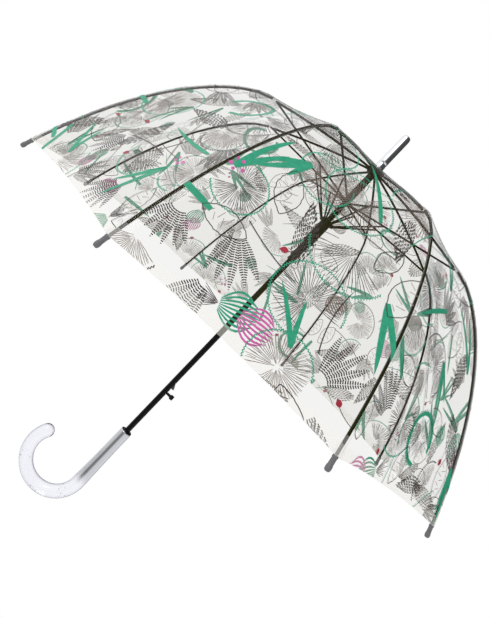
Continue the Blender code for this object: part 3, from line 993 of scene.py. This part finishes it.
# ---- CAD nodes: better materials -----------------------------------------------------------------
def finish_nodes():
    """Materials for the nodes that still show. All others are replaced by pieces made above."""
    by_slot = {"black_steel": STEEL, "black_plastic": PLASTIC, "spring_steel": SPRING}
    slots = {part["node"]: part["material_slot"] for part in frame["record"]["subparts"]}
    for name, node in frame["nodes"].items():
        if slots[name] in by_slot:
            node.data.materials.clear()
            node.data.materials.append(by_slot[slots[name]])
            node.data.shade_smooth()
            node.data.set_sharp_from_angle(angle=math.radians(50))


# ---- studio ------------------------------------------------------------------------------------
def camera():
    """Level with the canopy's lower half and rolled, so that the shaft leans to the right."""
    distance, height, round_shaft = 0.9803, HUB_Z - 0.2842, math.radians(-1.236)
    yaw, tilt, roll = 0.0640 + round_shaft, -0.0004, 0.7639
    forward = Vector((-math.sin(yaw) * math.cos(tilt), math.cos(yaw) * math.cos(tilt), math.sin(tilt)))
    right = Vector((math.cos(yaw), math.sin(yaw), 0))
    up = right.cross(forward)
    right_rolled = right * math.cos(roll) + up * math.sin(roll)
    up_rolled = up * math.cos(roll) - right * math.sin(roll)
    turned_to = Matrix((right_rolled, up_rolled, -forward)).transposed().to_4x4()
    data = bpy.data.cameras.new("camera")
    data.sensor_width = 36
    data.lens = LENS
    data.shift_x, data.shift_y = 0.0258, -0.0643
    data.clip_start = 0.01
    made = bpy.data.objects.new("camera", data)
    place = Vector((distance * math.sin(round_shaft), -distance * math.cos(round_shaft), height))
    made.matrix_world = Matrix.Translation(place) @ turned_to
    bpy.context.scene.collection.objects.link(made)
    bpy.context.scene.camera = made


def ring_of_light(tree, place, stops):
    """Light by compass direction: (turn, value) pairs. 0.25 is the camera's side, 0.5 is +X."""
    compass = tree.nodes.new("ShaderNodeTexGradient")
    compass.gradient_type = "RADIAL"
    tree.links.new(place, compass.inputs["Vector"])
    ramp = tree.nodes.new("ShaderNodeValToRGB")
    elements = ramp.color_ramp.elements
    while len(elements) < len(stops):
        elements.new(0.5)
    for element, (turn, value) in zip(elements, stops):
        element.position = turn
        element.color = (value, value, value * 1.02, 1)
    tree.links.new(compass.outputs["Fac"], ramp.inputs["Fac"])
    return ramp.outputs["Color"]


def blended(tree, factor, first, second):
    """Mix two colours, each a socket or a plain colour."""
    mix = tree.nodes.new("ShaderNodeMix")
    mix.data_type = "RGBA"
    colours = [socket for socket in mix.inputs if socket.type == "RGBA"]
    tree.links.new(factor, mix.inputs[0])
    for socket, value in zip(colours, (first, second)):
        if isinstance(value, tuple):
            socket.default_value = (*value, 1)
        else:
            tree.links.new(value, socket)
    return [socket for socket in mix.outputs if socket.type == "RGBA"][0]


def world():
    """White to the eye and pale grey to matt surfaces.

    Gloss sees a studio of white walls and dark gaps. Clear acrylic sees white before and behind it, and
    lavender grey to its sides.
    """
    made = bpy.data.worlds.new("studio")
    bpy.context.scene.world = made
    made.use_nodes = True
    tree = made.node_tree
    place = tree.nodes.new("ShaderNodeTexCoord").outputs["Generated"]
    upper = ring_of_light(tree, place, [
        (0.0, 1.05), (0.22, 1.0), (0.25, 0.12), (0.34, 0.07),
        (0.66, 0.05), (0.70, 0.15), (0.78, 0.10), (0.84, 1.0)])
    lower = ring_of_light(tree, place, [
        (0.0, 0.80), (0.09, 0.62), (0.14, 0.20), (0.23, 0.22),
        (0.29, 0.80), (0.58, 0.86), (0.70, 0.05), (0.86, 0.80)])
    split = tree.nodes.new("ShaderNodeSeparateXYZ")
    tree.links.new(place, split.inputs[0])
    rise = tree.nodes.new("ShaderNodeMapRange")
    rise.inputs["From Min"].default_value = -0.12
    rise.inputs["From Max"].default_value = 0.12
    tree.links.new(split.outputs["Z"], rise.inputs["Value"])
    behind = tree.nodes.new("ShaderNodeMapRange")
    behind.inputs["From Min"].default_value = 0.02
    behind.inputs["From Max"].default_value = 0.55
    ahead = tree.nodes.new("ShaderNodeMath")
    ahead.operation = "ABSOLUTE"
    tree.links.new(split.outputs["Y"], ahead.inputs[0])
    tree.links.new(ahead.outputs[0], behind.inputs["Value"])
    rays = tree.nodes.new("ShaderNodeLightPath").outputs
    walls = blended(tree, rise.outputs["Result"], lower, upper)
    through = blended(tree, behind.outputs["Result"], (0.42, 0.41, 0.48), (1.0, 1.0, 1.02))
    colour = blended(tree, rays["Is Glossy Ray"], (0.80, 0.80, 0.80), walls)
    colour = blended(tree, rays["Is Transmission Ray"], colour, through)
    colour = blended(tree, rays["Is Camera Ray"], colour, (1.0, 1.0, 1.0))
    tree.links.new(colour, tree.nodes["Background"].inputs["Color"])


def area(name, place, size, power):
    """A soft light that faces the canopy's middle."""
    data = bpy.data.lights.new(name, "AREA")
    data.shape = "RECTANGLE"
    data.size, data.size_y = size
    data.energy = power
    made = bpy.data.objects.new(name, data)
    made.location = place
    made.rotation_mode = "QUATERNION"
    made.rotation_quaternion = (Vector((0, 0, 0.4)) - Vector(place)).to_track_quat("-Z", "Y")
    bpy.context.scene.collection.objects.link(made)
    return made


def studio():
    """World, two soft lights, and a floor as white as the background."""
    world()
    area("key", (-1.5, -1.7, 2.0), (1.3, 1.3), 16)
    area("rim", (1.9, 1.2, 1.6), (0.8, 1.6), 9).visible_glossy = False
    floor = bpy.data.meshes.new("floor")
    mesh = bmesh.new()
    bmesh.ops.create_circle(mesh, cap_ends=True, radius=14, segments=64)
    bmesh.ops.translate(mesh, vec=(0, 0, cad_low.z - 0.004), verts=mesh.verts)
    mesh.to_mesh(floor)
    mesh.free()
    pale = surface("floor", (0.0, 0.0, 0.0), 0.9, Specular_IOR_Level=0.0, Emission_Strength=1.0)
    pale.node_tree.nodes["Principled BSDF"].inputs["Emission Color"].default_value = (1, 1, 1, 1)
    floor.materials.append(pale)
    made = bpy.data.objects.new("floor", floor)
    made.visible_glossy = made.visible_transmission = False
    bpy.context.scene.collection.objects.link(made)


def main():
    camera()
    canopy()
    ferrule()
    tip_caps()
    grip = grip_material()
    silver_sleeve(grip)
    clear_hook(grip)
    finish_nodes()
    studio()
    scene = bpy.context.scene
    scene.view_settings.view_transform = "Standard"
    scene.view_settings.look = "None"
    if hasattr(scene, "cycles"):
        scene.cycles.transparent_max_bounces = 32


main()
